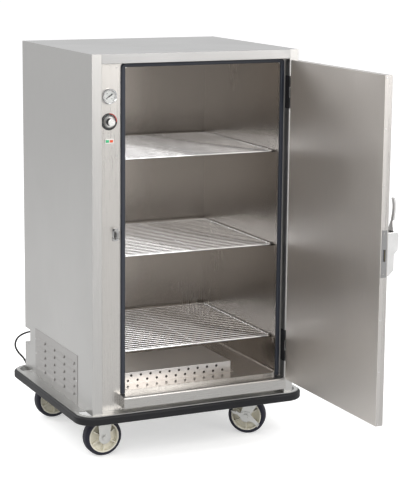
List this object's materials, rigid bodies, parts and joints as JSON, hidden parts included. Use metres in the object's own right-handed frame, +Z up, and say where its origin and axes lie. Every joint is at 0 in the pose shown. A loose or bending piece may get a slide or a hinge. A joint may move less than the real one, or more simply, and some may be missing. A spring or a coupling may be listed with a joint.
{
  "type": "heated banquet cabinet",
  "caption": "Upright insulated heated cabinet on casters with one hinged door, wire shelves, a control column and a wraparound bumper.",
  "frame": {"origin": "middle of the bounding box of the object without its cord, on the floor under it, door open by 90 degrees", "axes": "+Z up, the door side faces -Y, +X to the right seen from the front"},
  "size_m": [0.972, 1.6127, 1.57],
  "materials": {
    "casing_steel": "brushed stainless sheet",
    "liner_steel": "polished stainless sheet",
    "insulation_wool": "mineral wool slab",
    "gasket_rubber": "matt dark seal",
    "bumper_rubber": "satin black bumper",
    "fixing_steel": "bright zinc",
    "gauge_chrome": "polished bezel",
    "gauge_face": "white dial",
    "gauge_glass": "clear window",
    "dial_black": "printed scale plate",
    "control_body": "moulded control body",
    "knob_finish": "satin knob",
    "pilot_frame": "pale bezel",
    "pilot_lens": "tinted lenses",
    "hinge_black": "black coated steel",
    "latch_chrome": "satin chrome casting",
    "bolt_steel": "dark steel",
    "shelf_chrome": "bright chrome wire",
    "element_sheath": "heat-tinted sheath",
    "perforated_steel": "bright stainless sheet",
    "deck_steel": "satin stainless plate",
    "caster_zinc": "zinc plated pressing",
    "hub_nylon": "cream ribbed moulding",
    "tyre_rubber": "near black tread",
    "cord_black": "black flexible jacket",
    "plug_black": "moulded plug"
  },
  "bodies": {
    "cabinet": {"side_panel_left": "casing_steel", "side_panel_right": "casing_steel", "top_panel": "casing_steel", "back_panel": "casing_steel", "bottom_pan": "casing_steel", "front_frame": "casing_steel", "liner_walls": "liner_steel", "liner_ends": "liner_steel", "liner_back": "liner_steel", "insulation": "insulation_wool", "door_gasket": "gasket_rubber", "door_sill": "casing_steel", "control_plate": "casing_steel", "screws": "fixing_steel", "thermometer_case": "gauge_chrome", "thermometer_dial": "gauge_face", "thermometer_glass": "gauge_glass", "dial_plate": "dial_black", "thermostat": "control_body", "pilot_bezel": "pilot_frame", "pilot_lenses": "pilot_lens", "strike": "fixing_steel", "hinge_frame_leaves": "hinge_black", "shelf_ledges": "liner_steel", "heater_cover": "perforated_steel", "heating_element": "element_sheath", "vent_panel": "casing_steel", "base_deck": "deck_steel", "bumper": "bumper_rubber", "bumper_channel": "deck_steel", "rigid_forks": "caster_zinc", "swivel_plates": "caster_zinc", "strain_relief": "plug_black", "cord": "cord_black", "cord_coil": "cord_black", "plug": "plug_black"},
    "door": {"door_outer_pan": "casing_steel", "door_inner_pan": "liner_steel", "door_core": "insulation_wool", "door_rivets": "fixing_steel", "latch_case": "latch_chrome", "hinge_door_leaves": "hinge_black"},
    "latch_lever": {"latch_lever": "latch_chrome"},
    "latch_bolt": {"latch_bolt": "bolt_steel"},
    "thermostat_knob": {"thermostat_knob": "knob_finish"},
    "shelf_low": {"shelf_low": "shelf_chrome"},
    "shelf_middle": {"shelf_middle": "shelf_chrome"},
    "shelf_high": {"shelf_high": "shelf_chrome"},
    "wheel_front_left": {"hub_front_left": "hub_nylon", "tyre_front_left": "tyre_rubber"},
    "swivel_front": {"fork_front_right": "caster_zinc"},
    "wheel_front_right": {"hub_front_right": "hub_nylon", "tyre_front_right": "tyre_rubber"},
    "brake_front": {"brake_front_right": "caster_zinc"},
    "wheel_rear_left": {"hub_rear_left": "hub_nylon", "tyre_rear_left": "tyre_rubber"},
    "swivel_rear": {"fork_rear_right": "caster_zinc"},
    "wheel_rear_right": {"hub_rear_right": "hub_nylon", "tyre_rear_right": "tyre_rubber"},
    "brake_rear": {"brake_rear_right": "caster_zinc"}
  },
  "joints": [
    {"name": "door_hinge", "type": "hinge", "parent": "cabinet", "child": "door", "pos_m": [0.415, -0.051, 0.9], "axis": [0, 0, 1], "range_deg": [-90, 90]},
    {"name": "latch_lever_hinge", "type": "hinge", "parent": "door", "child": "latch_lever", "pos_m": [0.439, -0.74, 0.952], "axis": [0, 1, 0], "range_deg": [0, 30]},
    {"name": "latch_bolt_slide", "type": "slide", "parent": "door", "child": "latch_bolt", "axis": [0, 1, 0], "range_m": [0, 0.008]},
    {"name": "thermostat_knob_turn", "type": "hinge", "parent": "cabinet", "child": "thermostat_knob", "pos_m": [-0.346, -0.025, 1.316], "axis": [0, 1, 0], "range_deg": [0, 300]},
    {"name": "shelf_low_slide", "type": "slide", "parent": "cabinet", "child": "shelf_low", "axis": [0, -1, 0], "range_m": [0, 0.35]},
    {"name": "shelf_middle_slide", "type": "slide", "parent": "cabinet", "child": "shelf_middle", "axis": [0, -1, 0], "range_m": [0, 0.35]},
    {"name": "shelf_high_slide", "type": "slide", "parent": "cabinet", "child": "shelf_high", "axis": [0, -1, 0], "range_m": [0, 0.35]},
    {"name": "wheel_front_left_spin", "type": "hinge", "parent": "cabinet", "child": "wheel_front_left", "pos_m": [-0.342, 0.08, 0.076], "axis": [0, 1, 0], "continuous": true},
    {"name": "swivel_front_turn", "type": "hinge", "parent": "cabinet", "child": "swivel_front", "pos_m": [0.342, 0.08, 0.17], "axis": [0, 0, 1], "continuous": true},
    {"name": "wheel_front_right_spin", "type": "hinge", "parent": "swivel_front", "child": "wheel_front_right", "pos_m": [0.30733, 0.10709, 0.076], "axis": [0.6157, 0.788, 0], "continuous": true},
    {"name": "brake_front_press", "type": "hinge", "parent": "swivel_front", "child": "brake_front", "pos_m": [0.30733, 0.10709, 0.076], "axis": [0.6157, 0.788, 0], "range_deg": [0, 14]},
    {"name": "wheel_rear_left_spin", "type": "hinge", "parent": "cabinet", "child": "wheel_rear_left", "pos_m": [-0.342, 0.635, 0.076], "axis": [0, 1, 0], "continuous": true},
    {"name": "swivel_rear_turn", "type": "hinge", "parent": "cabinet", "child": "swivel_rear", "pos_m": [0.342, 0.635, 0.17], "axis": [0, 0, 1], "continuous": true},
    {"name": "wheel_rear_right_spin", "type": "hinge", "parent": "swivel_rear", "child": "wheel_rear_right", "pos_m": [0.30015, 0.6214, 0.076], "axis": [-0.309, 0.9511, 0], "continuous": true},
    {"name": "brake_rear_press", "type": "hinge", "parent": "swivel_rear", "child": "brake_rear", "pos_m": [0.30015, 0.6214, 0.076], "axis": [-0.309, 0.9511, 0], "range_deg": [0, 14]}
  ],
  "couplings": [
    {"joint": "latch_bolt_slide", "follows": "latch_lever_hinge", "m_per_rad": 0.014324}
  ]
}
